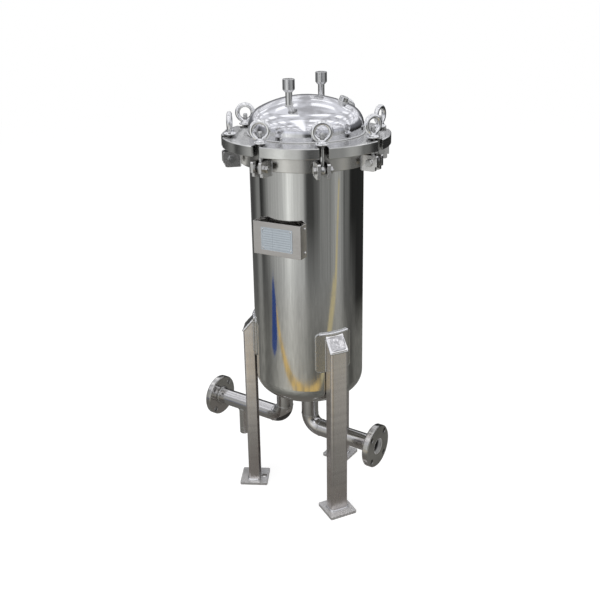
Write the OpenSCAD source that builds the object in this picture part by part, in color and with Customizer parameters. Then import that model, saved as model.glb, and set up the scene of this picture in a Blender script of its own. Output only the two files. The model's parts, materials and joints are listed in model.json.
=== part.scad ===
// Multi-cartridge liquid filter housing on three legs, with a domed lid held
// down by eight swing bolts. Millimetres, +Z up. The origin is on the vessel
// axis at floor level, in the middle of the three anchor holes. The outlet
// leaves towards +X and the inlet towards -X.

/* [Shell] */
// Outside diameter of the shell
shell_od = 300; // [260:1:340]
// Wall of the shell and of both heads
wall = 3; // [2:0.5:4]
// Height of the lower edge of the straight shell above the floor
shell_z = 370; // [340:1:400]
// Straight shell length up to the neck ring
shell_len = 604; // [590:1:680]

/* [Neck ring and lid] */
// Width of the neck ring outside the shell
neck_w = 26; // [22:1:30]
// Height of the neck ring
neck_h = 42; // [36:1:50]
// Width of the lid flange outside the neck ring
lid_w = 44; // [40:1:50]
// Thickness of the lid flange
lid_t = 26.5; // [20:0.5:32]
// Chamfer of the lid flange rim
rim_chamfer = 2; // [1:0.5:3]
// Straight skirt of the dome above the flange
dome_skirt = 20; // [12:1:30]
// Cord diameter of the lid seal
seal_d = 5; // [4:0.5:6]

/* [Swing bolts] */
// Distance from the lid rim in to the bolt circle
bolt_inset = 22; // [18:1:24]
// Shank diameter
bolt_d = 12; // [10:1:14]
// Length from the pin to the tip
bolt_len = 90; // [84:1:100]
// Ball diameter of the bolt eye
ball_d = 25; // [22:1:28]
// Width over the flats of the bolt eye
eye_w = 14; // [12:1:16]
// Pin diameter
pin_d = 10; // [8:1:11]
// Height of the pins above the neck ring's lower face
pin_up = 12; // [10:1:16]
// Width of the slots in the lid flange
slot_w = 24; // [18:1:26]
// Inside diameter of the lifting ring of an eye nut
ring_id = 29.5; // [26:0.5:34]
// Thickness of the lifting ring
ring_cord = 12.5; // [10:0.5:13]
// Height of the ring centre above the foot of the nut
ring_up = 32; // [29:0.5:36]
// Collar diameter of the eye nut
collar_d = 34; // [30:1:38]

/* [Hinge lugs] */
// Thickness of a lug plate
lug_t = 8; // [6:1:10]
// Height of a lug plate
lug_h = 40; // [36:1:44]
// Drop of the lug plates under the pin
lug_drop = 21; // [18:1:24]

/* [Lid fittings] */
// Distance of the two vertical fittings from the axis
fitting_r = 83; // [70:1:90]
// Outside diameter of the stems
stem_d = 17.2; // [13:0.1:21]
// Outside diameter of the threaded sockets
socket_d = 30.5; // [26:0.5:34]
// Height of the sockets
socket_h = 31; // [24:1:36]
// Height of the socket tops above the dome's highest point
socket_up = 50; // [40:1:60]
// Bore of the sockets, a half inch pipe thread
socket_bore = 18.6; // [16:0.1:19]
// Diameter of the small sloping boss
boss_d = 23; // [18:1:26]

/* [Legs] */
// Width of a leg across its web
leg_w = 50; // [44:1:56]
// Depth of a leg, away from the vessel
leg_depth = 31; // [26:1:36]
// Sheet thickness of a leg
leg_t = 4; // [3:0.5:5]
// Height of the leg's outer face
leg_h = 492; // [480:1:510]
// Rise of the sloping leg top
leg_rise = 33; // [25:1:40]
// Thickness of the backing pads
pad_t = 3; // [2:0.5:4]
// Width of a backing pad around the shell
pad_w = 102; // [90:1:110]
// Height of a backing pad
pad_h = 108; // [90:1:115]
// Height of the pad's top edge above the leg's rear top edge
pad_over = 10; // [6:1:14]
// Side of the square foot plates
foot_w = 80; // [72:1:90]
// Thickness of the foot plates
foot_t = 8; // [6:1:10]
// Radius of the circle through the anchor holes
anchor_r = 140; // [136:1:142]
// Diameter of the anchor holes
anchor_d = 16; // [12:1:18]
// Distance of an anchor hole's centre from the inner edge of its foot plate
anchor_edge = 13; // [12:1:20]

/* [Pipework] */
// Height of the pipe centres above the floor
pipe_z = 186; // [180:1:200]
// Outside diameter of inlet and outlet pipe
pipe_d = 48.3; // [44:0.1:52]
// Wall of inlet and outlet pipe
pipe_wall = 2.8; // [2:0.1:3.5]
// Bend radius of both elbows
elbow_r = 38; // [36:1:44]
// Distance of the inlet riser from the vessel axis
inlet_x = 89; // [86:1:92]
// Distance of the outlet flange face from the axis
outlet_face = 226; // [210:1:260]
// Distance of the inlet flange face from the axis
inlet_face = 347; // [330:1:370]
// Outside diameter of the connection flanges
flange_d = 120; // [116:1:126]
// Thickness of the connection flanges
flange_t = 20; // [14:1:22]
// Bolt circle of the connection flanges
flange_pcd = 95; // [92:1:98]
// Bolt holes of the connection flanges
flange_hole = 15; // [12:1:16]
// Distance of the drain from the axis
drain_x = 247; // [235:1:262]
// Outside diameter of the drain stub
drain_d = 26.9; // [21:0.1:28]
// Height of the drain's open end above the floor
drain_z = 82; // [70:1:110]

/* [Nameplate] */
// Angle of the nameplate around the vessel
plate_az = -84; // [-90:1:-78]
// Width of the bracket
bracket_w = 137; // [120:1:145]
// Height of the bracket
bracket_h = 87; // [70:1:95]
// Height of the bracket's lower edge above the floor
bracket_z = 753; // [700:1:780]
// Stand-off of the bracket face from the shell
bracket_off = 16; // [12:1:22]
// Sheet thickness of the bracket
bracket_t = 2; // [1.5:0.5:3]
// Width of the nameplate
plate_w = 90; // [70:1:94]
// Height of the nameplate
plate_h = 60; // [44:1:62]

/* [Filter elements] */
// Outside diameter of a filter element
element_d = 65; // [60:1:67]
// Length of a filter element between its end caps
element_l = 508; // [500:1:512]
// Radius of the ring of elements
element_r = 98; // [97:1:102]
// Diameter of the spigot under a filter element
spigot_d = 44; // [42:0.5:46]
// Thickness of the tube sheet
sheet_t = 8; // [6:1:10]
// Number of pleats in a filter element
pleats = 24; // [18:1:30]

/* [Hidden] */
$fn = 96;
gap = 0.2;                       // gap at welded and stacked curved faces
seat = 0.3;                      // gap of pieces that lie in or on another
run = 0.05;                      // radial clearance of a running fit
shell_r = shell_od / 2;
bore_r = shell_r - wall;
neck_r = shell_r + neck_w;
lid_r = neck_r + lid_w;
bolt_r = lid_r - bolt_inset;
neck_z = shell_z + shell_len;
neck_top = neck_z + neck_h;
lid_z = neck_top + seat;
lid_top = lid_z + lid_t;
dome_z = lid_top + dome_skirt;
pin_z = neck_z + pin_up;
// Height that a nut has to be backed off before its bolt can swing out past
// the rim, plus a little air
reach = lid_top - pin_z;
nut_off = sqrt(reach * reach + pow(bolt_inset - rim_chamfer, 2)) - reach + 0.4;
nut_z = lid_top + nut_off;
lug_in = eye_w / 2 + 1.2;
ring_r = (ring_id + ring_cord) / 2;
// Heads: about two to one. The knuckle centre lies at 8 and 15 parts from the
// crown centre, 17 parts away from it, so that both arcs meet smoothly. It
// keeps to steps of 0.2 mm, which keeps those parts round numbers
knuckle_x = 0.2 * round(1.65 * shell_od);
knuckle = shell_r - knuckle_x;
crown_drop = knuckle_x * 15 / 8;
crown = knuckle_x * 17 / 8 + knuckle;
head_h = crown - crown_drop;
dome_top = dome_z + head_h;
far = 2 * dome_top;               // size of cutting bodies that reach past everything
dome_c = dome_z - crown_drop;
dish_c = shell_z + crown_drop;
socket_top = dome_top + socket_up;
stem_r = stem_d / 2;
stem_sunk = 26;                  // the stems reach this far below the dome's top
boss_tilt = 21.3;
boss_az = 28;
fitting_az = -86;
// Legs
pad_r = shell_r + gap + pad_t;
leg_in = pad_r - 1.2;
leg_out = leg_in + leg_depth;
leg_az = [-30, 90, 210];
foot_c = anchor_r - anchor_edge + foot_w / 2;
pad_top = leg_h + leg_rise + pad_over;
pad_a = pad_w / pad_r * 90 / PI;
// Pipes
pipe_r = pipe_d / 2;
pipe_in = pipe_r - pipe_wall;
bend_top = pipe_z + elbow_r;
sheet_z = shell_z + 6;
riser_top = sheet_z + sheet_t + 16;
// Filter elements
seats = [for (i = [0:7]) if (i != 4) i * 45];
cup_wall = 3.2;
cup_ledge = 2;                   // step in the bore that an element's spigot ends on
cup_floor = 3;
cup_drop = 6;                    // the cups reach this far below the sheet
cup_rise = 12;                   // and this far above it
cup_r = spigot_d / 2 + 0.4;
cup_out = cup_r + cup_wall;
cup_z = sheet_z - cup_drop;
cup_h = cup_drop + sheet_t + cup_rise;
cup_top = cup_z + cup_h;
el_z = cup_top + seat;
cap_h = 12;
el_top = el_z + element_l;
fin_h = 28;
hold_z = el_top + seat;
hold_t = 5;
hold_r = bore_r - 13;
rod_d = 14;
rod_up = 30;                     // the rod stands this far above the hold-down plate
rod_collar_d = 26;
rod_nut_d = 27;                  // across the corners
// Nameplate
face_d = shell_r + bracket_off;
ret_back = sqrt(pow(shell_r, 2) - pow(bracket_w / 2 - bracket_t, 2)) + 0.4;
tab_t = 3;
tab_l = 28;

// Half of a dished head's outline, filled: crown arc and knuckle arc. The line
// through both arc centres divides them
module head_outline(inward) {
  divide = [knuckle_x * 4, crown_drop * 3];
  intersection() {
    translate([0, -crown_drop]) circle(r = crown - inward);
    polygon([[0, -crown_drop], divide, [0, crown * 2]]);
  }
  translate([knuckle_x, 0]) circle(r = knuckle - inward);
}

// Half section of a dished head with its straight skirt
module head_half(skirt) {
  difference() {
    intersection() {
      head_outline(0);
      square([shell_r + 1, crown]);
    }
    head_outline(wall);
  }
  if (skirt > 0) translate([bore_r, -skirt]) square([wall, skirt]);
}

module ring(r_out, r_in, h) {
  difference() {
    cylinder(r = r_out, h = h);
    translate([0, 0, -1]) cylinder(r = r_in, h = h + 2);
  }
}

module at(az, r) rotate([0, 0, az]) translate([r, 0, 0]) children();

// Shell and lower head

module shell() color([0.72, 0.72, 0.70])
  translate([0, 0, shell_z]) ring(shell_r, bore_r, shell_len + neck_h - 2);

module bottom_head() color([0.70, 0.70, 0.68])
  difference() {
    translate([0, 0, shell_z - gap]) mirror([0, 0, 1]) rotate_extrude() head_half(0);
    translate([0, 0, shell_z - head_h - 20]) cylinder(r = pipe_r + gap, h = head_h);
    translate([-inlet_x, 0, shell_z - head_h - 20]) cylinder(r = pipe_r + gap, h = head_h);
  }

// Neck ring with the seal groove, and the hinge lugs of the swing bolts

seal_r = shell_r + neck_w / 2;
groove_d = seal_d - 0.1;

module neck_ring() color([0.66, 0.66, 0.64])
  translate([0, 0, neck_z]) rotate_extrude() difference() {
    polygon([[shell_r + gap, 0], [neck_r - 1, 0], [neck_r, 1], [neck_r, neck_h - 1],
      [neck_r - 1, neck_h], [shell_r + gap, neck_h]]);
    translate([seal_r - seal_d / 2 - 0.6, neck_h - groove_d])
      square([seal_d + 1.2, groove_d + 1]);
  }

module lid_seal() color([0.12, 0.12, 0.12])
  translate([0, 0, neck_top - groove_d + seal_d / 2 + 0.05])
    rotate_extrude() translate([seal_r, 0]) circle(d = seal_d);

// One lug plate: outline in the radial plane, with round outer corners
module lug_plate() {
  low = pin_z - lug_drop;
  x0 = neck_r + gap - 8;
  x1 = lid_r - 0.5;
  difference() {
    rotate([90, 0, 0]) linear_extrude(lug_t, center = true) difference() {
      union() {
        translate([x0, low]) square([x1 - x0 - 12, lug_h]);
        translate([x0, low + 12]) square([x1 - x0, lug_h - 12 - 5]);
        translate([x0, low]) square([x1 - x0 - 5, lug_h]);
        translate([x1 - 5, low + lug_h - 5]) circle(r = 5);
      }
      difference() {
        translate([x1 - 12, low - 1]) square([13, 13]);
        translate([x1 - 12, low + 12]) circle(r = 12);
      }
      translate([bolt_r, pin_z]) circle(d = pin_d + 0.2);
    }
  }
}

module hinge_lugs() color([0.62, 0.61, 0.59])
  difference() {
    for (i = [0:7], s = [-1, 1])
      rotate([0, 0, i * 45]) translate([0, s * (lug_in + lug_t / 2), 0]) lug_plate();
    cylinder(r = neck_r + gap, h = far);
  }

module pin_axis(i) at(i * 45, bolt_r) translate([0, 0, pin_z]) rotate([90, 0, 0]) children();

pin_half = lug_in + lug_t;

module lug_pins() color([0.70, 0.70, 0.70])
  for (i = [0:7]) pin_axis(i) {
    translate([0, 0, -pin_half - 11]) cylinder(d = pin_d, h = 2 * pin_half + 11 + gap);
    translate([0, 0, pin_half + gap]) cylinder(d = 1.93 * pin_d, h = 6.4, $fn = 6);
  }

module pin_nuts() color([0.68, 0.68, 0.68])
  for (i = [0:7]) pin_axis(i)
    translate([0, 0, -pin_half - gap - 8]) difference() {
      cylinder(d = 1.93 * pin_d, h = 8, $fn = 6);
      translate([0, 0, -1]) cylinder(d = pin_d + 0.2, h = 10);
    }

// Lid: slotted flange, dome and fittings

module lid_flange() color([0.74, 0.74, 0.72])
  difference() {
    translate([0, 0, lid_z]) rotate_extrude()
      polygon([[shell_r + gap, 0], [lid_r - 1, 0], [lid_r, 1], [lid_r, lid_t - rim_chamfer],
        [lid_r - rim_chamfer, lid_t], [shell_r + gap, lid_t]]);
    for (i = [0:7]) rotate([0, 0, i * 45]) {
      translate([bolt_r, 0, lid_z - 1]) cylinder(d = slot_w, h = lid_t + 2);
      translate([bolt_r, -slot_w / 2, lid_z - 1]) cube([bolt_inset + 5, slot_w, lid_t + 2]);
    }
  }

module lid_dome() color([0.80, 0.80, 0.79])
  difference() {
    translate([0, 0, dome_z]) rotate_extrude() head_half(dome_skirt + lid_t - 2);
    for (s = [0, 180]) at(fitting_az + s, fitting_r)
      translate([0, 0, dome_z]) cylinder(r = stem_r + gap, h = head_h + 20);
    translate([0, 0, dome_c]) rotate([0, 0, boss_az]) rotate([0, boss_tilt, 0])
      cylinder(d = 8, h = crown + 10);
  }

module lid_stems() color([0.78, 0.78, 0.77])
  for (s = [0, 180]) at(fitting_az + s, fitting_r)
    translate([0, 0, dome_top - stem_sunk])
      ring(stem_r, stem_r - 2.2, socket_up - socket_h + 8 + stem_sunk);

module lid_sockets() color([0.78, 0.78, 0.77])
  for (s = [0, 180]) at(fitting_az + s, fitting_r)
    translate([0, 0, socket_top - socket_h]) rotate_extrude()
      polygon([[stem_r + gap, 0], [stem_r + 2.5, 0], [socket_d / 2, 5], [socket_d / 2, socket_h - 1],
        [socket_d / 2 - 1, socket_h], [socket_bore / 2, socket_h], [socket_bore / 2, 8 + seat],
        [stem_r + gap, 8 + seat]]);

module lid_boss() color([0.76, 0.76, 0.75])
  translate([0, 0, dome_c]) rotate([0, 0, boss_az]) rotate([0, boss_tilt, 0])
    translate([0, 0, crown + 0.1]) difference() {
      union() {
        cylinder(d = boss_d, h = 13);
        translate([0, 0, 13]) cylinder(d1 = boss_d, d2 = boss_d - 3, h = 1.5);
      }
      translate([0, 0, -1]) cylinder(d = 11.4, h = 20);
    }

// Swing bolts and their eye nuts

module swing_bolt(i) color([0.70, 0.70, 0.69])
  at((i - 1) * 45, bolt_r) translate([0, 0, pin_z]) difference() {
    union() {
      intersection() {
        sphere(d = ball_d);
        cube([ball_d + 2, eye_w, ball_d + 2], center = true);
      }
      cylinder(d = bolt_d, h = bolt_len - 1.2);
      translate([0, 0, bolt_len - 1.2]) cylinder(d1 = bolt_d, d2 = bolt_d - 2.4, h = 1.2);
    }
    rotate([90, 0, 0]) cylinder(d = pin_d + 2 * run, h = ball_d, center = true);
  }

// Turn of each lifting ring about its bolt, as the nuts happen to stand
spin = [69, 46, 144, 49, 34, 79, 120, 81];

module eye_nut(i) color([0.76, 0.76, 0.75])
  at((i - 1) * 45, bolt_r) translate([0, 0, nut_z]) rotate([0, 0, spin[i - 1]]) difference() {
    union() {
      rotate_extrude() polygon([[0, 0], [collar_d / 2 - 1, 0], [collar_d / 2, 1],
        [collar_d / 2, 3.5], [collar_d / 2 - 3, 5], [bolt_d / 2 + 5.5, 7], [bolt_d / 2 + 4, 14],
        [0, 14]]);
      translate([0, 0, ring_up]) rotate([90, 0, 0]) rotate_extrude()
        translate([ring_r, 0]) circle(d = ring_cord);
    }
    translate([0, 0, -1]) cylinder(d = bolt_d + 2 * run, h = ring_up + 1);
  }

// Legs, pads and foot plates

leg_slope = atan2(leg_rise, leg_depth - 1.2);

module leg(az) color([0.55, 0.52, 0.50])
  rotate([0, 0, az]) difference() {
    translate([0, 0, foot_t]) linear_extrude(leg_h + leg_rise + 5) difference() {
      union() {
        translate([leg_in, -leg_w / 2]) square([leg_depth - 7, leg_w]);
        translate([leg_in, -leg_w / 2 + 7]) square([leg_depth, leg_w - 14]);
        for (s = [-1, 1]) translate([leg_out - 7, s * (leg_w / 2 - 7)]) circle(r = 7);
      }
      translate([leg_in - 1, -leg_w / 2 + leg_t]) square([leg_depth + 1 - 7, leg_w - 2 * leg_t]);
      translate([leg_in - 1, -leg_w / 2 + 7]) square([leg_depth + 1 - leg_t, leg_w - 14]);
      for (s = [-1, 1]) translate([leg_out - 7, s * (leg_w / 2 - 7)]) circle(r = 7 - leg_t);
    }
    translate([leg_out, 0, leg_h - leg_t - gap]) rotate([0, leg_slope, 0])
      translate([-far / 2, -leg_w, 0]) cube([far, 2 * leg_w, far]);
  }

module leg_caps() color([0.60, 0.58, 0.56])
  for (az = leg_az) rotate([0, 0, az]) difference() {
    translate([leg_out, 0, leg_h - leg_t]) rotate([0, leg_slope, 0])
      translate([-3 * leg_depth, -leg_w / 2, 0]) cube([4 * leg_depth, leg_w, leg_t]);
    translate([leg_out, -leg_w, 0]) cube([far, 2 * leg_w, far]);
    cylinder(r = pad_r + gap, h = far);
  }

module leg_pads() color([0.66, 0.65, 0.62])
  for (az = leg_az) rotate([0, 0, az]) intersection() {
    translate([0, 0, pad_top - pad_h]) ring(pad_r, shell_r + gap, pad_h);
    rotate([90, 0, 90]) linear_extrude(far) translate([0, pad_top - pad_h / 2])
      pad_outline(2 * pad_r * sin(pad_a), pad_h, 9);
  }

module pad_outline(w, h, r) {
  square([w - 2 * r, h], center = true);
  square([w, h - 2 * r], center = true);
  for (x = [-1, 1], y = [-1, 1]) translate([x * (w / 2 - r), y * (h / 2 - r)]) circle(r = r);
}

module foot_plates() color([0.72, 0.72, 0.70])
  for (az = leg_az) rotate([0, 0, az]) difference() {
    translate([foot_c, 0, 0]) linear_extrude(foot_t) pad_outline(foot_w, foot_w, 4);
    translate([anchor_r, 0, -1]) cylinder(d = anchor_d, h = foot_t + 2);
  }

// Pipework: both lines run down from the lower head and bend outwards

module riser(x, top) translate([x, 0, bend_top])
  difference() {
    cylinder(r = pipe_r, h = top - bend_top);
    translate([0, 0, -1]) cylinder(r = pipe_in, h = top - bend_top + 2);
  }

module elbow() rotate([90, 0, 0]) rotate_extrude(angle = 90) translate([elbow_r, 0]) difference() {
    circle(r = pipe_r);
    circle(r = pipe_in);
  }

module run_pipe(x0, x1) translate([x0, 0, pipe_z]) rotate([0, 90, 0]) ring(pipe_r, pipe_in, x1 - x0);

module pipe_flange() difference() {
    rotate([0, 90, 0]) rotate_extrude()
      polygon([[pipe_r + gap, 0], [pipe_r + 4, 0], [pipe_r + 4, 2], [flange_d / 2 - 2, 2],
        [flange_d / 2, 4], [flange_d / 2, flange_t - 2], [flange_d / 2 - 2, flange_t],
        [pipe_in, flange_t], [pipe_in, flange_t - 4], [pipe_r + gap, flange_t - 4]]);
    for (a = [45:90:315]) rotate([a, 0, 0]) translate([-1, 0, flange_pcd / 2])
      rotate([0, 90, 0]) cylinder(d = flange_hole, h = flange_t + 2);
  }

module outlet_riser() color([0.78, 0.78, 0.77]) riser(0, shell_z - head_h + wall + 3);

module outlet_elbow() color([0.80, 0.80, 0.79])
  translate([elbow_r, 0, bend_top]) rotate([0, 180, 0]) elbow();

module outlet_pipe() color([0.78, 0.78, 0.77]) run_pipe(elbow_r, outlet_face - 4 - seat);

module outlet_flange() color([0.66, 0.66, 0.65])
  translate([outlet_face - flange_t, 0, pipe_z]) pipe_flange();

module inlet_riser() color([0.78, 0.78, 0.77]) riser(-inlet_x, riser_top);

module inlet_elbow() color([0.80, 0.80, 0.79])
  translate([-inlet_x - elbow_r, 0, bend_top]) rotate([180, 0, 0]) elbow();

module inlet_pipe() color([0.78, 0.78, 0.77])
  difference() {
    run_pipe(-inlet_face + 4 + seat, -inlet_x - elbow_r);
    translate([-drain_x, 0, pipe_z - pipe_r - 5]) cylinder(d = drain_d - 4.6, h = pipe_r);
  }

module inlet_flange() color([0.66, 0.66, 0.65])
  translate([-inlet_face + flange_t, 0, pipe_z]) mirror([1, 0, 0]) pipe_flange();

module drain_stub() color([0.70, 0.70, 0.69])
  difference() {
    translate([-drain_x, 0, drain_z]) difference() {
      union() {
        cylinder(d1 = drain_d - 2, d2 = drain_d, h = 1.2);
        translate([0, 0, 1.2]) cylinder(d = drain_d, h = pipe_z - drain_z - 1.2);
      }
      translate([0, 0, -1]) cylinder(d = drain_d - 4.6, h = pipe_z);
      for (z = [9, 20]) translate([0, 0, z]) ring(drain_d, drain_d / 2 - 0.8, 1.2);
    }
    translate([-drain_x - 40, 0, pipe_z]) rotate([0, 90, 0]) cylinder(r = pipe_r + gap, h = 80);
  }

// Nameplate on its bracket

module on_plate() rotate([0, 0, plate_az]) children();

module bracket_cover() color([0.62, 0.61, 0.58])
  on_plate() difference() {
    translate([ret_back, -bracket_w / 2, bracket_z]) cube([face_d - ret_back, bracket_w, bracket_h]);
    translate([ret_back - 1, -bracket_w / 2 + bracket_t, bracket_z - 1])
      cube([face_d - ret_back + 1 - bracket_t, bracket_w - 2 * bracket_t, bracket_h + 2]);
    for (s = [-1, 1], z = [12, bracket_h - 12]) translate([ret_back + 8, 0, bracket_z + z])
      rotate([90, 0, 0]) cylinder(d = 4.6, h = 2 * bracket_w, center = true);
    for (y = [-1, 1], z = [-1, 1]) rivet_at(y, z) cylinder(d = 3.2, h = 20, center = true);
  }

module rivet_at(y, z)
  translate([face_d, y * (plate_w / 2 - 5), bracket_z + bracket_h / 2 + z * (plate_h / 2 - 5)])
    rotate([0, 90, 0]) children();

tab_y = bracket_w / 2 - bracket_t - seat;

module bracket_tabs() color([0.66, 0.65, 0.63])
  on_plate() difference() {
    for (s = [-1, 1])
      translate([ret_back - 12, s * tab_y - (s > 0 ? tab_t : 0), bracket_z + 4])
        cube([tab_l, tab_t, bracket_h - 8]);
    translate([0, 0, bracket_z - 10]) cylinder(r = shell_r + gap, h = bracket_h + 20);
    for (z = [12, bracket_h - 12]) translate([ret_back + 8, 0, bracket_z + z])
      rotate([90, 0, 0]) cylinder(d = 4.2, h = 2 * bracket_w, center = true);
  }

module bracket_screws() color([0.80, 0.80, 0.80])
  on_plate() for (s = [-1, 1], z = [12, bracket_h - 12])
    translate([ret_back + 8, s * (bracket_w / 2 + gap), bracket_z + z]) rotate([-90 * s, 0, 0]) {
      translate([0, 0, -8]) cylinder(d = 4, h = 8.1);
      cylinder(d = 8, h = 1.2);
      translate([0, 0, 1.2]) cylinder(d1 = 8, d2 = 5.5, h = 1.2);
    }

module nameplate() color([0.66, 0.72, 0.80])
  on_plate() difference() {
    translate([face_d + 0.1, 0, bracket_z + bracket_h / 2]) rotate([90, 0, 90])
      linear_extrude(1) pad_outline(plate_w, plate_h, 2);
    for (y = [-1, 1], z = [-1, 1]) rivet_at(y, z) cylinder(d = 3.2, h = 20, center = true);
  }

module plate_rivets() color([0.80, 0.80, 0.80])
  on_plate() for (y = [-1, 1], z = [-1, 1]) rivet_at(y, z) {
    translate([0, 0, -4]) cylinder(d = 3, h = 5.3);
    translate([0, 0, 1.2]) cylinder(d1 = 5.4, d2 = 3.4, h = 1);
  }

// Inside: tube sheet, seats, hold-down and the filter elements

module tube_sheet() color([0.70, 0.70, 0.70])
  difference() {
    translate([0, 0, sheet_z]) cylinder(r = bore_r - gap, h = sheet_t);
    for (a = seats) at(a, element_r) translate([0, 0, sheet_z - 1])
      cylinder(r = cup_out + gap, h = sheet_t + 2);
    translate([-inlet_x, 0, sheet_z - 1]) cylinder(r = pipe_r + gap, h = sheet_t + 2);
    translate([0, 0, sheet_z - 1]) cylinder(d = rod_d + 0.2, h = sheet_t + 2);
  }

module seat_cups() color([0.72, 0.72, 0.72])
  for (a = seats) at(a, element_r) translate([0, 0, cup_z]) difference() {
    cylinder(r = cup_out, h = cup_h);
    translate([0, 0, -1]) cylinder(r = cup_r - cup_ledge, h = cup_h + 2);
    translate([0, 0, cup_floor]) cylinder(r = cup_r, h = cup_h);
  }

module tie_rod() color([0.70, 0.70, 0.70])
  union() {
    translate([0, 0, sheet_z - 12]) cylinder(d = rod_d, h = hold_z + hold_t + rod_up - sheet_z + 12);
    translate([0, 0, sheet_z + sheet_t + gap]) cylinder(d = rod_collar_d, h = 8);
    translate([0, 0, sheet_z - gap - 8]) cylinder(d = rod_nut_d, h = 8, $fn = 6);
  }

module hold_plate() color([0.70, 0.70, 0.70])
  translate([0, 0, hold_z]) difference() {
    cylinder(r = hold_r, h = hold_t);
    for (a = seats) at(a, element_r) translate([0, 0, -1]) cylinder(r = 11, h = hold_t + 2);
    for (a = seats) at(a + 22.5, element_r - 45) translate([0, 0, -1]) cylinder(r = 9, h = hold_t + 2);
    translate([0, 0, -1]) cylinder(d = rod_d + 1, h = hold_t + 2);
  }

module hold_nut() color([0.74, 0.74, 0.74])
  translate([0, 0, hold_z + hold_t + gap]) difference() {
    union() {
      cylinder(d = 30, h = 12);
      translate([0, 0, 6]) rotate([90, 0, 0]) cylinder(d = 10, h = 74, center = true);
    }
    translate([0, 0, -1]) cylinder(d = rod_d + 0.2, h = 20);
  }

module element_cores() color([0.92, 0.92, 0.90])
  for (a = seats) at(a, element_r) translate([0, 0, el_z + cap_h + gap])
    ring(14, 12, element_l - 2 * cap_h - 2 * gap);

// Pleated media with open pleats towards the outside
module element_media() color([0.97, 0.97, 0.96])
  for (a = seats) at(a, element_r) translate([0, 0, el_z + cap_h + gap])
    linear_extrude(element_l - 2 * cap_h - 2 * gap) difference() {
      polygon([for (k = [0:2 * pleats - 1]) let (b = k * 180 / pleats,
        r = k % 2 == 0 ? element_d / 2 - 1 : 19) [r * cos(b), r * sin(b)]]);
      circle(r = 14 + gap);
    }

module element_lower_caps() color([0.93, 0.93, 0.92])
  for (a = seats) at(a, element_r) translate([0, 0, el_z]) difference() {
    union() {
      cylinder(d = element_d, h = cap_h);
      translate([0, 0, -cup_h + 5]) cylinder(d = spigot_d - 5, h = cup_h - 4);
      for (z = [-17, -9]) translate([0, 0, z]) cylinder(d = spigot_d - 0.6, h = 2);
      translate([0, 0, -3]) cylinder(d = spigot_d - 0.6, h = 4);
    }
    translate([0, 0, -cup_h]) cylinder(r = 12, h = cup_h + cap_h + 1);
  }

module element_upper_caps() color([0.93, 0.93, 0.92])
  for (a = seats) at(a, element_r) translate([0, 0, el_top - cap_h]) {
    cylinder(d = element_d, h = cap_h);
    cylinder(d = 20, h = cap_h + 4);
    translate([0, 0, cap_h + 4]) cylinder(d1 = 20, d2 = 8, h = fin_h - 8);
  }

module element_seals() color([0.15, 0.15, 0.15])
  for (a = seats) at(a, element_r) for (z = [-12.8, -4.9])
    translate([0, 0, el_z + z]) rotate_extrude()
      translate([spigot_d / 2 - 0.9, 0]) circle(d = 2.2);

shell();
bottom_head();
neck_ring();
hinge_lugs();
lug_pins();
pin_nuts();
lid_seal();
lid_flange();
lid_dome();
lid_stems();
lid_sockets();
lid_boss();
swing_bolt(1);  // swing_bolt_1
swing_bolt(2);  // swing_bolt_2
swing_bolt(3);  // swing_bolt_3
swing_bolt(4);  // swing_bolt_4
swing_bolt(5);  // swing_bolt_5
swing_bolt(6);  // swing_bolt_6
swing_bolt(7);  // swing_bolt_7
swing_bolt(8);  // swing_bolt_8
eye_nut(1);  // eye_nut_1
eye_nut(2);  // eye_nut_2
eye_nut(3);  // eye_nut_3
eye_nut(4);  // eye_nut_4
eye_nut(5);  // eye_nut_5
eye_nut(6);  // eye_nut_6
eye_nut(7);  // eye_nut_7
eye_nut(8);  // eye_nut_8
leg(leg_az[0]);  // leg_right
leg(leg_az[1]);  // leg_back
leg(leg_az[2]);  // leg_left
leg_caps();
leg_pads();
foot_plates();
outlet_riser();
outlet_elbow();
outlet_pipe();
outlet_flange();
inlet_riser();
inlet_elbow();
inlet_pipe();
inlet_flange();
drain_stub();
bracket_tabs();
bracket_cover();
bracket_screws();
nameplate();
plate_rivets();
tube_sheet();
seat_cups();
tie_rod();
hold_plate();
hold_nut();
element_cores();
element_media();
element_lower_caps();
element_upper_caps();
element_seals();
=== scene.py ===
import json
import math
import bpy
import bmesh
import numpy as np
from mathutils import Matrix, Vector, noise


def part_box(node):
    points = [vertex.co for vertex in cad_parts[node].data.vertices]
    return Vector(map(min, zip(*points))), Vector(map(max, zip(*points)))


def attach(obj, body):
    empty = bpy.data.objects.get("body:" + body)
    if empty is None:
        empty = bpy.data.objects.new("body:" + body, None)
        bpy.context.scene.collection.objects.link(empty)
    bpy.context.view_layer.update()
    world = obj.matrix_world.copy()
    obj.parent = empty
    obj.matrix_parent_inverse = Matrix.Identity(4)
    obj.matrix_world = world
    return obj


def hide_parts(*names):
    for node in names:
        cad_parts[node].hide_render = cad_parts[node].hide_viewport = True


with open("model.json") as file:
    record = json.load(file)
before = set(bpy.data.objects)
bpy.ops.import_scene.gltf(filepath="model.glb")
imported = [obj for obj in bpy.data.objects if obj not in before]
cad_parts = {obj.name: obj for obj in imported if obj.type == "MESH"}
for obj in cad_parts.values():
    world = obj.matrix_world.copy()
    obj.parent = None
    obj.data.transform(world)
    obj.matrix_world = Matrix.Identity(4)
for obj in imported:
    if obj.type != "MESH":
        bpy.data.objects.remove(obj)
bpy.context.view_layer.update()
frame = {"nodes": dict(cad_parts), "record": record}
nodes = frame["nodes"]
scene = bpy.context.scene
scene.view_settings.view_transform = "Standard"

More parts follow.
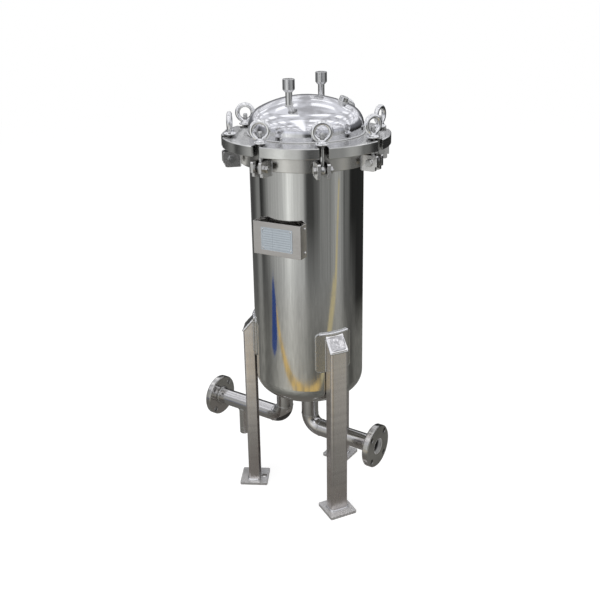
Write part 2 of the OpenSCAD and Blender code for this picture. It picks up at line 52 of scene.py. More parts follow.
# Sizes in metres, read from the boxes of the solids where these give them
SHELL_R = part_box("shell")[1].x
SHELL_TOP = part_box("shell")[1].z
LID_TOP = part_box("lid_flange")[1].z
NECK_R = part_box("neck_ring")[1].x
PAD_LO, PAD_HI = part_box("leg_pads")[0].z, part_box("leg_pads")[1].z
SOCKET_LO, SOCKET_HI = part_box("lid_sockets")[0].z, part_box("lid_sockets")[1].z

# Crown radius of the two dished heads, and the heights of the centres of their crowns
CROWN = 0.261375
DOME_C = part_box("lid_dome")[1].z - CROWN
DISH_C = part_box("bottom_head")[0].z + CROWN

# Fittings of the lid: two stems with sockets, and a boss that stands square on the dome
STEM_CIRCLE = 0.083
STEM_AZ = (-86, 94)
STEMS = [(STEM_CIRCLE * math.cos(math.radians(a)), STEM_CIRCLE * math.sin(math.radians(a))) for a in STEM_AZ]
BOSS_TILT, BOSS_AZ = math.radians(21.3), math.radians(28)
BOSS = Vector((math.sin(BOSS_TILT) * math.cos(BOSS_AZ), math.sin(BOSS_TILT) * math.sin(BOSS_AZ),
               math.cos(BOSS_TILT)))
BOSS_FACE = CROWN + 0.0146

# Swing bolts: their circle and pins, the thread above a pin, and how far each eye nut is turned
BOLTS = 8
BOLT_R = 0.198
PIN_Z = 0.986
THREAD_Z = 0.050
TIP_Z = 0.090
NUT_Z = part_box("eye_nut_1")[0].z
SPIN = (69, 46, 144, 49, 34, 79, 120, 81)

# Lug plates: outer face of a pair from its middle, and the span of its welds
LUG_FACE = 0.0082 + 0.008
LUG_LO, LUG_HI = 0.9665, 1.0035

# Pipes: height of the lines, outside and bend radius, bore, inlet riser and drain, flange faces,
# and how far the bead behind a flange lies from its face
PIPE_Z = 0.186
PIPE_R = 0.02415
BEND_R = 0.038
BORE_R = 0.0224
INLET_X = -0.089
DRAIN_X = -0.247
OUTLET_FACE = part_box("outlet_flange")[1].x
INLET_FACE = -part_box("inlet_flange")[0].x
FLANGE_BACK = 0.0207

# Legs: azimuths, inner and outer face, half width, and the bead on the foot plates
LEG_AZ = (-30, 90, 210)
LEG_IN, LEG_OUT, LEG_HALF = 0.152, 0.183, 0.025
FOOT_WELD_Z = 0.0088

# Backing pads of the legs: outer radius, where a cap meets them, half angle, width, round corners
PAD_R = 0.1532
PAD_FACE = PAD_R + 0.0004
PAD_SPREAD = math.radians(19.073)
PAD_W = 2 * PAD_R * math.sin(PAD_SPREAD)
PAD_CORNER = 0.0095

# Sloping leg caps: rise and run of the slope, and the heights of their outer and inner ends
CAP_RISE, CAP_RUN = 0.033, 0.0298
TOP_OUT = 0.492
TOP_IN = TOP_OUT + CAP_RISE * (LEG_OUT - PAD_FACE) / CAP_RUN

# Nameplate: azimuth and height of its middle, half sizes of the border and of the field inside it,
# pitch of the rows with their line as a share of it, and the column with half its line
PLATE_AZ = math.radians(-84)
PLATE_Z = 0.7965
BORDER_W, BORDER_H, BORDER_LINE = 0.0410, 0.0270, 0.0008
FIELD_W, FIELD_H = 0.0385, 0.0245
ROW_PITCH, ROW_LINE = 0.0061, 0.075
COLUMN_AT, COLUMN_LINE = -0.012, 0.0003


# Materials
class Shader:
    """A node material or world, built one node at a time."""

    def __init__(self, name, tree=None):
        if tree is None:
            self.material = bpy.data.materials.new(name)
            self.material.use_nodes = True
            tree = self.material.node_tree
        self.tree = tree
        self.tree.nodes.clear()

    def node(self, kind, **props):
        new = self.tree.nodes.new("ShaderNode" + kind)
        for key, value in props.items():
            setattr(new, key, value)
        return new

    def put(self, socket, value):
        if isinstance(value, bpy.types.NodeSocket):
            self.tree.links.new(value, socket)
        elif isinstance(value, (tuple, list)) and len(value) == 3 and socket.type == "RGBA":
            socket.default_value = (*value, 1.0)
        else:
            socket.default_value = value

    def math(self, op, a, b=0.0, c=None, clamp=False):
        new = self.node("Math", operation=op, use_clamp=clamp)
        self.put(new.inputs[0], a)
        self.put(new.inputs[1], b)
        if c is not None:
            self.put(new.inputs[2], c)
        return new.outputs[0]

    def add(self, a, b, clamp=False):
        return self.math("ADD", a, b, clamp=clamp)

    def minus(self, a, b):
        return self.math("SUBTRACT", a, b)

    def times(self, a, b, clamp=False):
        return self.math("MULTIPLY", a, b, clamp=clamp)

    def absolute(self, value):
        return self.math("ABSOLUTE", value)

    def below(self, value, limit):
        return self.math("LESS_THAN", value, limit)

    def length(self, a, b):
        return self.math("SQRT", self.add(self.times(a, a), self.times(b, b)))

    def span(self, value, lo, hi, to_lo=0.0, to_hi=1.0, smooth=False):
        new = self.node("MapRange", interpolation_type="SMOOTHSTEP" if smooth else "LINEAR")
        for i, entry in enumerate((value, lo, hi, to_lo, to_hi)):
            self.put(new.inputs[i], entry)
        return new.outputs[0]

    def mix(self, factor, a, b):
        new = self.node("Mix", data_type="RGBA")
        self.put(new.inputs[0], factor)
        self.put(new.inputs[6], a)
        self.put(new.inputs[7], b)
        return new.outputs[2]

    def noise(self, vector=None, scale=1.0, detail=2.0, rough=0.5, warp=0.0, along=None):
        """Noise in space, or along one value where that is given."""
        new = self.node("TexNoise", noise_dimensions="3D" if along is None else "1D")
        if along is None:
            self.put(new.inputs["Vector"], vector)
        else:
            self.put(new.inputs["W"], along)
        self.put(new.inputs["Scale"], scale)
        self.put(new.inputs["Detail"], detail)
        self.put(new.inputs["Roughness"], rough)
        self.put(new.inputs["Distortion"], warp)
        return new.outputs["Fac"]

    def stretch(self, vector, by):
        new = self.node("VectorMath", operation="MULTIPLY")
        self.put(new.inputs[0], vector)
        new.inputs[1].default_value = by
        return new.outputs[0]

    def place(self):
        return self.node("TexCoord").outputs["Object"]

    def split(self, vector):
        new = self.node("SeparateXYZ")
        self.put(new.inputs[0], vector)
        return new.outputs[0], new.outputs[1], new.outputs[2]

    def bump(self, height, distance, normal=None):
        new = self.node("Bump")
        self.put(new.inputs["Strength"], 1.0)
        self.put(new.inputs["Distance"], distance)
        self.put(new.inputs["Height"], height)
        if normal is not None:
            self.put(new.inputs["Normal"], normal)
        return new.outputs["Normal"]

    def round_edges(self, radius):
        new = self.node("Bevel", samples=4)
        self.put(new.inputs["Radius"], radius)
        return new.outputs["Normal"]

    def seen(self):
        """One for what the camera sees, straight or in metal and glass, and zero for light."""
        path = self.node("LightPath").outputs
        mirrored = self.math("MAXIMUM", path["Is Glossy Ray"], path["Is Transmission Ray"])
        return self.math("MAXIMUM", path["Is Camera Ray"], mirrored)

    def plain(self, kind, colour, strength=None):
        """A shader with one colour: Emission, Background or BsdfDiffuse."""
        new = self.node(kind)
        self.put(new.inputs["Color"], colour)
        if strength is not None:
            self.put(new.inputs["Strength"], strength)
        return new.outputs[0]

    def mix_shaders(self, factor, a, b):
        new = self.node("MixShader")
        self.put(new.inputs[0], factor)
        self.put(new.inputs[1], a)
        self.put(new.inputs[2], b)
        return new.outputs[0]

    def add_shaders(self, a, b):
        new = self.node("AddShader")
        self.put(new.inputs[0], a)
        self.put(new.inputs[1], b)
        return new.outputs[0]

    def output(self, shader, kind="OutputMaterial"):
        self.put(self.node(kind).inputs["Surface"], shader)

    def surface(self, **values):
        new = self.node("BsdfPrincipled")
        for key, value in values.items():
            self.put(new.inputs[key.replace("_", " ")], value)
        self.output(new.outputs["BSDF"])
        return self.material


def darker(colour, share):
    return tuple(c * share for c in colour)


def tool_marks(s, marks, fine):
    """Fine polishing or turning marks, by the direction in which the tool ran."""
    place = s.place()
    if marks == "up":
        return s.noise(s.stretch(place, (fine, fine, fine * 0.012)), detail=3.0, rough=0.6)
    if marks == "level":
        return s.noise(s.stretch(place, (fine * 0.02, fine * 0.02, fine)), detail=3.0, rough=0.6)
    if marks == "any":
        return s.noise(place, scale=fine, detail=4.0, rough=0.6)
    x, y, z = s.split(place)
    if marks == "turned_z":
        radius = s.add(s.length(x, y), s.times(z, 0.7))
    else:
        radius = s.add(s.length(y, s.minus(z, PIPE_Z)), s.times(x, 0.7))
    return s.noise(along=s.times(radius, fine), detail=3.0, rough=0.65)


def painted_nook_shade(s, reach, depth):
    """Painted shade in recesses: how much of depth to apply where other faces closer than reach shut a place
    in.
    """
    open_sky = s.node("AmbientOcclusion", samples=6)
    s.put(open_sky.inputs["Distance"], reach)
    return s.span(open_sky.outputs["AO"], 0.15, 0.75, depth, 0.0)


def in_bore(s, radius):
    """One inside the pipes and zero outside, and the depth behind the nearer flange face: where the bore gets
    its painted highlight and shade.
    """
    x, y, z = s.split(s.place())
    inner = s.below(s.length(y, s.minus(z, PIPE_Z)), radius)
    return inner, s.math("MINIMUM", s.minus(OUTLET_FACE, x), s.add(x, INLET_FACE))


def steel(name, colour, rough, marks="any", fine=900.0, cut=2e-6, wave=0.0, wave_scale=14.0, stain=0.12,
          stain_colour=(0.30, 0.27, 0.24), edge=0.0, nook_shade=0.0, reach=0.022, bands=0.0, painted_bore_r=0.0, metal=1.0):
    """Stainless steel: tool marks, slight waviness, faint stains and rounded corners.
    rough holds the roughness between and on the marks, cut and wave are depths, and edge is
    the radius of the corners. nook_shade is painted shade: it darkens what other faces closer than
    reach shut in. bands adds roller marks across a sheet, and painted_bore_r is the radius about the
    pipe line inside which the wall gets a painted highlight at its mouth and painted shade further in."""
    s = Shader(name)
    place = s.place()
    mark = tool_marks(s, marks, fine)
    cloud = s.noise(place, scale=9.0, detail=4.0, rough=0.55, warp=0.4)
    spots = s.noise(place, scale=46.0, detail=5.0, rough=0.6)
    dirt = s.times(s.span(cloud, 0.45, 0.75), s.span(spots, 0.42, 0.72), clamp=True)
    tone = s.mix(s.times(dirt, stain), colour, stain_colour)
    tone = s.mix(s.span(mark, 0.3, 0.7, 0.0, 0.16), tone, darker(colour, 0.72))
    roughness = s.add(s.span(mark, 0.3, 0.7, *rough), s.times(dirt, 0.10), clamp=True)
    if bands:
        band = s.noise(s.stretch(place, (2.0, 2.0, 95.0)), rough=0.6)
        tone = s.mix(s.span(band, 0.4, 0.65, 0.0, bands), tone, darker(colour, 0.6))
    # Painted shade: the colour goes nearly black where ambient occlusion finds other faces close by.
    if nook_shade:
        tone = s.mix(painted_nook_shade(s, reach, nook_shade), tone, darker(colour, 0.10))
    # Painted highlight and shade in the pipe bore: near white at its mouth, then near black and less metallic
    # further in.
    if painted_bore_r:
        inner, depth = in_bore(s, painted_bore_r)
        tone = s.mix(s.times(inner, s.span(depth, 0.0, 0.012)), tone, (0.95, 0.95, 0.95))
        tone = s.mix(s.times(inner, s.span(depth, 0.009, 0.013, 0.0, 0.97)), tone, (0.02, 0.018, 0.016))
        roughness = s.math("MAXIMUM", roughness, s.times(inner, 0.5))
        metal = s.minus(metal, s.times(inner, 0.7))
    normal = s.round_edges(edge) if edge else None
    if wave:
        normal = s.bump(s.noise(place, scale=wave_scale, detail=1.5, rough=0.45), wave, normal)
    normal = s.bump(mark, cut, normal)
    return s.surface(Base_Color=tone, Metallic=metal, Roughness=roughness, Normal=normal)


def plastic(name, colour, rough, fine=260.0, cut=4e-6, edge=0.0):
    """Moulded plastic, rubber or filter paper: a fine skin of slightly uneven colour."""
    s = Shader(name)
    place = s.place()
    skin = s.noise(place, scale=fine, detail=4.0, rough=0.6)
    cloud = s.noise(place, scale=22.0, detail=3.0)
    tone = s.mix(s.span(cloud, 0.35, 0.7, 0.0, 0.2), colour, darker(colour, 0.8))
    roughness = s.span(skin, 0.3, 0.7, rough - 0.06, rough + 0.08)
    normal = s.bump(skin, cut, s.round_edges(edge) if edge else None)
    return s.surface(Base_Color=tone, Roughness=roughness, Normal=normal)


def nameplate_print(s):
    """One on the lines of the nameplate: a border, ruled rows and one column, without any words."""
    x, y, z = s.split(s.place())
    across = s.add(s.times(x, -math.sin(PLATE_AZ)), s.times(y, math.cos(PLATE_AZ)))
    up = s.minus(z, PLATE_Z)
    side, rise = s.absolute(across), s.absolute(up)

    def field(width, height):
        return s.times(s.below(side, width), s.below(rise, height))

    border = s.minus(field(BORDER_W, BORDER_H), field(BORDER_W - BORDER_LINE, BORDER_H - BORDER_LINE))
    step = s.math("FRACT", s.add(s.math("DIVIDE", up, ROW_PITCH), 0.5))
    row = s.below(s.absolute(s.minus(step, 0.5)), ROW_LINE)
    column = s.below(s.absolute(s.minus(across, COLUMN_AT)), COLUMN_LINE)
    lines = s.times(field(FIELD_W, FIELD_H), s.math("MAXIMUM", row, column))
    return s.math("MAXIMUM", border, lines, clamp=True)


def nameplate_material():
    """Pale brushed plate, dull where it is printed."""
    s = Shader("plate_print")
    place = s.place()
    ink = nameplate_print(s)
    worn = s.noise(place, scale=240.0, detail=4.0, rough=0.6)
    brushed = s.noise(s.stretch(place, (30.0, 30.0, 2600.0)))
    tone = s.mix(s.span(worn, 0.3, 0.7, 0.0, 0.18), (0.56, 0.62, 0.67), (0.46, 0.50, 0.53))
    tone = s.mix(s.times(ink, 0.75), tone, (0.12, 0.15, 0.19))
    return s.surface(Base_Color=tone, Metallic=s.minus(0.55, s.times(ink, 0.5)),
                     Roughness=s.span(worn, 0.3, 0.7, 0.34, 0.48), Normal=s.bump(brushed, 2e-6))


STEELS = {
    "shell_steel": dict(colour=(0.66, 0.66, 0.64), rough=(0.05, 0.11), marks="up", fine=1100.0, cut=1.2e-6,
                        wave=0.00022, wave_scale=9.0, stain=0.05),
    "mirror_steel": dict(colour=(0.80, 0.80, 0.82), rough=(0.07, 0.12), fine=500.0, cut=1e-6,
                         wave=0.0006, wave_scale=17.0, stain=0.05),
    "ring_steel": dict(colour=(0.62, 0.61, 0.58), rough=(0.16, 0.26), marks="turned_z", fine=2600.0, cut=3e-6,
                       wave=0.0001, wave_scale=20.0, stain=0.25, edge=0.0008, nook_shade=0.9),
    "lid_steel": dict(colour=(0.72, 0.72, 0.70), rough=(0.14, 0.24), marks="turned_z", fine=2300.0, cut=4e-6,
                      wave=0.0002, wave_scale=22.0, stain=0.2, edge=0.0012, nook_shade=0.9),
    "lug_steel": dict(colour=(0.88, 0.87, 0.86), rough=(0.16, 0.28), fine=700.0, cut=5e-6,
                      wave=0.0004, wave_scale=60.0, stain=0.4, edge=0.0014, nook_shade=0.7),
    "bolt_steel": dict(colour=(0.70, 0.70, 0.69), rough=(0.14, 0.24), cut=3e-6,
                       wave=0.0001, wave_scale=80.0, stain=0.2, edge=0.0007, nook_shade=0.8),
    "nut_steel": dict(colour=(0.88, 0.88, 0.88), rough=(0.06, 0.12), fine=420.0,
                      wave=0.0003, wave_scale=70.0, nook_shade=0.7),
    "fitting_steel": dict(colour=(0.70, 0.70, 0.69), rough=(0.13, 0.24), marks="turned_z", fine=2600.0,
                          wave=0.0001, wave_scale=60.0, stain=0.15, edge=0.0006),
    "leg_steel": dict(colour=(0.83, 0.795, 0.775), rough=(0.22, 0.34), marks="up", fine=620.0, cut=5e-6,
                      wave=0.00035, wave_scale=16.0, stain=0.32, stain_colour=(0.42, 0.36, 0.31),
                      edge=0.0014, nook_shade=0.97, reach=0.032, bands=0.26),
    "cap_steel": dict(colour=(0.74, 0.73, 0.73), rough=(0.10, 0.20), fine=420.0,
                      wave=0.0009, wave_scale=62.0, stain=0.45, stain_colour=(0.40, 0.35, 0.31)),
    "pad_steel": dict(colour=(0.62, 0.61, 0.58), rough=(0.20, 0.32), marks="up", fine=700.0, cut=4e-6,
                      wave=0.0002, wave_scale=30.0, stain=0.35, stain_colour=(0.28, 0.23, 0.19),
                      edge=0.0012, nook_shade=0.6),
    "foot_steel": dict(colour=(0.80, 0.79, 0.785), rough=(0.18, 0.30), fine=600.0, cut=4e-6,
                       wave=0.0004, wave_scale=40.0, stain=0.35, edge=0.0018, nook_shade=0.5, metal=0.7),
    "pipe_steel": dict(colour=(0.72, 0.71, 0.705), rough=(0.13, 0.22), fine=500.0,
                       wave=0.0002, wave_scale=30.0, stain=0.2, nook_shade=0.5, painted_bore_r=BORE_R),
    "flange_steel": dict(colour=(0.66, 0.65, 0.63), rough=(0.09, 0.18), marks="turned_x", fine=2600.0,
                         cut=3e-6, wave=0.0004, wave_scale=45.0, stain=0.5, stain_colour=(0.30, 0.25, 0.20),
                         edge=0.0055, nook_shade=0.5, painted_bore_r=BORE_R),
    "drain_steel": dict(colour=(0.82, 0.81, 0.79), rough=(0.18, 0.30), marks="turned_z", fine=2000.0,
                        cut=4e-6, wave=0.0001, wave_scale=40.0, stain=0.35, edge=0.0007, nook_shade=0.5),
    "bracket_steel": dict(colour=(0.66, 0.64, 0.62), rough=(0.26, 0.38), marks="level", fine=700.0, cut=4e-6,
                          wave=0.0002, wave_scale=22.0, stain=0.35, edge=0.0014),
    "screw_steel": dict(colour=(0.80, 0.80, 0.80), rough=(0.12, 0.22), edge=0.0004),
    "inner_steel": dict(colour=(0.66, 0.66, 0.65), rough=(0.24, 0.34), fine=700.0, cut=3e-6,
                        wave=0.0001, wave_scale=30.0, stain=0.2, edge=0.0006),
    "weld_bright": dict(colour=(0.95, 0.95, 0.96), rough=(0.16, 0.26), fine=500.0, cut=4e-6,
                        wave=0.0003, wave_scale=90.0, stain=0.2),
    "weld_steel": dict(colour=(0.70, 0.70, 0.69), rough=(0.14, 0.26), cut=6e-6,
                       wave=0.0001, wave_scale=120.0, stain=0.35, stain_colour=(0.34, 0.28, 0.20)),
}
PLASTICS = {
    "seal_rubber": dict(colour=(0.030, 0.030, 0.032), rough=0.62, fine=700.0, cut=1e-5),
    "core_plastic": dict(colour=(0.82, 0.82, 0.79), rough=0.42, edge=0.0006),
    "cap_plastic": dict(colour=(0.86, 0.86, 0.83), rough=0.40, edge=0.0008),
    "filter_media": dict(colour=(0.88, 0.88, 0.85), rough=0.85, fine=1500.0, cut=3e-5),
}
MATERIALS = {name: steel(name, **look) for name, look in STEELS.items()}
MATERIALS.update({name: plastic(name, **look) for name, look in PLASTICS.items()})
MATERIALS["plate_aluminium"] = nameplate_material()

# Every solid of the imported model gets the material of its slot, and the leg caps their own
SLOT = {part["node"]: part["material_slot"] for part in frame["record"]["subparts"]}
for name, obj in nodes.items():
    obj.data.materials.clear()
    obj.data.materials.append(MATERIALS["cap_steel" if name == "leg_caps" else SLOT[name]])


# Mesh tools
def make_object(name, points, faces, material, smooth=False):
    """A mesh object in the scene that belongs to nothing yet."""
    mesh = bpy.data.meshes.new(name)
    mesh.from_pydata([tuple(p) for p in points], [], [tuple(f) for f in faces])
    mesh.materials.append(material)
    mesh.polygons.foreach_set("use_smooth", [smooth] * len(mesh.polygons))
    mesh.update()
    obj = bpy.data.objects.new(name, mesh)
    scene.collection.objects.link(obj)
    return obj


def housing_piece(name, points, faces, material):
    """A smooth piece that is fixed to the housing."""
    obj = make_object(name, points, faces, material, smooth=True)
    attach(obj, "housing")


def turned(azimuth, points):
    turn = Matrix.Rotation(math.radians(azimuth), 4, "Z")
    return [turn @ Vector(p) for p in points]


def full_turn(count):
    return np.linspace(0, 2 * math.pi, count, endpoint=False)


def circle(centre, radius, axis=(0, 0, 1), count=72):
    axis = Vector(axis).normalized()
    u = axis.orthogonal().normalized()
    v = axis.cross(u)
    return [Vector(centre) + radius * (math.cos(t) * u + math.sin(t) * v) for t in full_turn(count)]


def around(x0, y0, radius, height, count=48):
    """A ring about an upright line, laid on the surface whose height at a point is given."""
    ring = [(x0 + radius * math.cos(t), y0 + radius * math.sin(t)) for t in full_turn(count)]
    return [(x, y, height(x, y)) for x, y in ring]


def tube_faces(rows, sides, closed=False):
    """Quads between the rings of a tube, and from its last ring to its first where it is closed."""
    faces = []
    for i in range(rows if closed else rows - 1):
        j = (i + 1) % rows
        for k in range(sides):
            m = (k + 1) % sides
            faces.append((i * sides + k, i * sides + m, j * sides + m, j * sides + k))
    return faces


# Weld beads: rows of points to a ripple, and values from which the slow drift in size is drawn
RIPPLE_ROWS = 4
DRIFT_POINTS = 24


def even_line(path, pitch, closed):
    """Points at even steps along a path."""
    path = [Vector(p) for p in path]
    if closed:
        path.append(path[0].copy())
    steps = [0.0]
    for a, b in zip(path, path[1:]):
        steps.append(steps[-1] + (b - a).length)
    count = max(3 * RIPPLE_ROWS, int(round(steps[-1] / pitch)) * RIPPLE_ROWS)
    rows = count if closed else count + 1
    where = np.interp(np.linspace(0, steps[-1], count + 1)[:rows], steps, range(len(steps)))
    starts = [min(int(w), len(path) - 2) for w in where]
    return np.array([[*path[k].lerp(path[k + 1], w - k)] for k, w in zip(starts, where)])


def directions(line, closed):
    """Unit vectors ahead, across and to the side at each point of a line, that never spin about it."""
    ahead = np.roll(line, -1, 0) - np.roll(line, 1, 0)
    if not closed:
        ahead[0], ahead[-1] = line[1] - line[0], line[-1] - line[-2]
    ahead /= np.linalg.norm(ahead, axis=1)[:, None]
    normal = np.cross(ahead[0], (0.31, 0.22, 0.92))
    if np.linalg.norm(normal) < 0.2:
        normal = np.cross(ahead[0], (1.0, 0.0, 0.0))
    across = []
    for tangent in ahead:
        normal = normal - tangent * np.dot(normal, tangent)
        normal = normal / np.linalg.norm(normal)
        across.append(normal.copy())
    across = np.array(across)
    return ahead, across, np.cross(ahead, across)


def closing_twist(ahead, across, side):
    """Angles that turn the rings of a closed bead little by little, so that its ends meet."""
    end = across[-1] - ahead[0] * np.dot(across[-1], ahead[0])
    end /= np.linalg.norm(end)
    angle = math.atan2(np.dot(end, side[0]), np.dot(end, across[0]))
    return -angle * np.arange(len(ahead)) / len(ahead)


def bead_sizes(rows, radius, ripple, closed, seed):
    """Radius of a bead row by row: the ripples, a slow drift, and thin ends on an open bead."""
    rng = np.random.default_rng(seed)
    ripples = np.abs(np.sin(np.arange(rows) * math.pi / RIPPLE_ROWS))
    drift = np.interp(np.arange(rows), np.linspace(0, rows, DRIFT_POINTS), rng.uniform(-1, 1, DRIFT_POINTS))
    size = radius * (1.0 - 0.6 * ripple + ripple * ripples + 0.07 * drift)
    if not closed:
        size[0] *= 0.5
        size[-1] *= 0.5
    return size


def weld_rope(path, radius, closed, pitch, sides, ripple, seed):
    """Points and faces of one rippled bead along a path."""
    line = even_line(path, pitch, closed)
    rows = len(line)
    ahead, across, side = directions(line, closed)
    twist = closing_twist(ahead, across, side) if closed else np.zeros(rows)
    size = bead_sizes(rows, radius, ripple, closed, seed)
    rings = []
    for k in range(sides):
        angle = twist + 2 * math.pi * k / sides
        rings.append(line + (np.cos(angle) * size)[:, None] * across + (np.sin(angle) * size)[:, None] * side)
    faces = tube_faces(rows, sides, closed)
    if not closed:
        faces.append(tuple(range(sides))[::-1])
        faces.append(tuple((rows - 1) * sides + k for k in range(sides)))
    return np.stack(rings, 1).reshape(-1, 3), faces


def weld(name, paths, radius, closed=False, pitch=0.0032, sides=8, ripple=0.20, finish="weld_steel"):
    """One piece of several beads that lie on like joints."""
    points, faces, start = [], [], 0
    for i, path in enumerate(paths):
        bead, quads = weld_rope(path, radius, closed, pitch, sides, ripple, seed=len(name) * 7 + i)
        points.append(bead)
        faces += [tuple(v + start for v in quad) for quad in quads]
        start += len(bead)
    housing_piece(name, np.concatenate(points), faces, MATERIALS[finish])


def dome_z(x, y):
    return DOME_C + math.sqrt(CROWN ** 2 - x * x - y * y)


def dish_z(x, y):
    return DISH_C - math.sqrt(CROWN ** 2 - x * x - y * y)


# The line of a bead lies a fraction of a millimetre off the corner that the bead fills
def weld_vessel():
    """Beads of the neck ring and the dome, and of the two risers on the lower head."""
    neck = circle((0, 0, SHELL_TOP - 0.0008), SHELL_R + 0.0010, count=180)
    dome = circle((0, 0, LID_TOP + 0.0008), SHELL_R + 0.0012, count=180)
    risers = [around(x, 0, PIPE_R + 0.0008, lambda x, y: dish_z(x, y) - 0.0008) for x in (0, INLET_X)]
    weld("weld_neck", [neck], radius=0.0022, closed=True)
    weld("weld_dome", [dome], radius=0.0026, closed=True)
    weld("weld_risers", risers, radius=0.0022, closed=True)


def weld_lines():
    """Beads of both pipe lines: the ends of the elbows, behind the flanges, and the drain."""
    elbows = []
    for x, way in ((0, 1), (INLET_X, -1)):
        elbows.append(circle((x, 0, PIPE_Z + BEND_R), PIPE_R - 0.0004, (0, 0, 1)))
        elbows.append(circle((x + way * BEND_R, 0, PIPE_Z), PIPE_R - 0.0004, (1, 0, 0)))
    backs = (OUTLET_FACE - FLANGE_BACK, FLANGE_BACK - INLET_FACE)
    flanges = [circle((x, 0, PIPE_Z), PIPE_R + 0.0006, (1, 0, 0)) for x in backs]
    drain_weld_r, seat_r = 0.01425, 0.0248
    drain = around(DRAIN_X, 0, drain_weld_r, lambda x, y: PIPE_Z - math.sqrt(seat_r ** 2 - y * y))
    weld("weld_pipes", elbows, radius=0.0014, closed=True, pitch=0.0026)
    weld("weld_flanges", flanges, radius=0.0020, closed=True, pitch=0.0026)
    weld("weld_drain", [drain], radius=0.0017, closed=True, pitch=0.0024)


def weld_fittings():
    """Beads of the stems on the dome, of the sockets on the stems, and of the boss."""
    stem_weld_r, boss_weld_r = 0.0094, 0.0122
    stems = [around(x, y, stem_weld_r, lambda a, b: dome_z(a, b) + 0.0006, count=32) for x, y in STEMS]
    sockets = [circle((x, y, SOCKET_LO - 0.0002), stem_weld_r, count=32) for x, y in STEMS]
    boss = circle(Vector((0, 0, DOME_C)) + BOSS * (CROWN + 0.0004), boss_weld_r, BOSS, count=36)
    weld("weld_stems", stems, radius=0.0018, closed=True, pitch=0.0024)
    weld("weld_sockets", sockets, radius=0.0013, closed=True, pitch=0.0022)
    weld("weld_boss", [boss], radius=0.0019, closed=True, pitch=0.0024)


def pad_outline(width, low, high):
    """Outline of a backing pad with round corners, unrolled: across and height of each point."""
    flat = []
    for side, end, first in ((1, -1, -90), (1, 1, 0), (-1, 1, 90), (-1, -1, 180)):
        middle = side * (width / 2 - PAD_CORNER)
        height = (high if end > 0 else low) - end * PAD_CORNER
        for k in range(7):
            angle = math.radians(first + 15 * k)
            flat.append((middle + PAD_CORNER * math.cos(angle), height + PAD_CORNER * math.sin(angle)))
    return flat


def laid_on_shell(flat, radius, step=0.004):
    """A closed outline laid round the shell, in short steps so that it follows the curve."""
    path = []
    for (u0, z0), (u1, z1) in zip(flat, flat[1:] + flat[:1]):
        count = max(1, int(math.hypot(u1 - u0, z1 - z0) / step))
        for k in range(count):
            u, z = u0 + (u1 - u0) * k / count, z0 + (z1 - z0) * k / count
            path.append((math.sqrt(max(radius * radius - u * u, 0)), u, z))
    return path


def other_side(points):
    """The mirror image of points across the middle of a leg, in reverse order."""
    return [(x, -y, z) for x, y, z in reversed(points)]


def weld_legs():
    """Beads of the pads, the caps, the legs and the foot plates, given for a leg along +X."""
    outline = pad_outline(PAD_W + 0.001, PAD_LO - 0.0005, PAD_HI + 0.0005)
    pad = laid_on_shell(outline, SHELL_R + 0.0014)
    pad_top = [(math.sqrt((PAD_R - 0.0004) ** 2 - u * u), u, PAD_HI - 0.0004)
               for u in np.linspace(-PAD_W / 2 + 0.008, PAD_W / 2 - 0.008, 25)]
    cap = [(PAD_FACE, -LEG_HALF + 0.002, TOP_IN - 0.002),
           (LEG_OUT - 0.002, -LEG_HALF + 0.0006, TOP_OUT - 0.0018),
           (LEG_OUT - 0.0006, -LEG_HALF + 0.004, TOP_OUT - 0.0026)]
    front = [cap[-1], other_side(cap)[0]]
    leg = [(PAD_R - 0.0005, -LEG_HALF - 0.0008, PAD_LO + 0.001),
           (PAD_R - 0.0005, -LEG_HALF - 0.0008, TOP_IN - 0.004)]
    foot = [(LEG_IN + 0.002, -LEG_HALF - 0.0006, FOOT_WELD_Z),
            (LEG_OUT - 0.006, -LEG_HALF - 0.0006, FOOT_WELD_Z),
            (LEG_OUT - 0.0012, -LEG_HALF + 0.0012, FOOT_WELD_Z),
            (LEG_OUT + 0.0006, -LEG_HALF + 0.006, FOOT_WELD_Z)]
    right_leg = other_side(leg)[::-1]

    def on_legs(*paths):
        return [turned(azimuth, path) for azimuth in LEG_AZ for path in paths]

    bright = dict(sides=10, finish="weld_bright")
    weld("weld_pads", on_legs(pad), radius=0.0021, closed=True, ripple=0.12)
    weld("weld_caps", on_legs(cap, other_side(cap)), radius=0.0034, ripple=0.06, **bright)
    weld("weld_cap_fronts", on_legs(front), radius=0.0022, ripple=0.06, sides=10)
    weld("weld_pad_tops", on_legs(pad_top), radius=0.0042, ripple=0.06, **bright)
    weld("weld_legs", on_legs(leg, right_leg), radius=0.0024)
    weld("weld_feet", on_legs(foot + other_side(foot)), radius=0.0034, ripple=0.08, **bright)


def weld_lugs():
    """Upright beads along the outer faces of the lug plates, on the neck ring."""
    lugs = []
    for i in range(BOLTS):
        for side in (-1, 1):
            y = side * (LUG_FACE + 0.0006)
            x = math.sqrt(NECK_R ** 2 - y * y)
            lugs.append(turned(360 / BOLTS * i, [(x, y, LUG_LO), (x, y, LUG_HI)]))
    weld("weld_lugs", lugs, radius=0.0016, sides=6)


# Skins of the leg caps: points along a side and the lift of their plane above the flat cap, then
# measured from that plane the edge, the swelling, the deepest dents and the lower face
SKIN_POINTS = 20
SKIN_LIFT = 0.0019
SKIN_EDGE = -0.0008
SKIN_SWELL = 0.0034
SKIN_DENT = 0.0016
SKIN_UNDER = -0.0012


def skin_height(p, q, leg):
    """How far a skin stands above its plane at p and q, both from -1 to 1: swollen and dented."""
    swell = (1 - abs(p) ** 3) * (1 - abs(q) ** 3)
    dent = noise.noise(Vector((p * 1.9, q * 1.7, 7.3 * leg + 2.0)))
    return SKIN_EDGE + SKIN_SWELL * swell ** 0.7 + SKIN_DENT * dent * swell


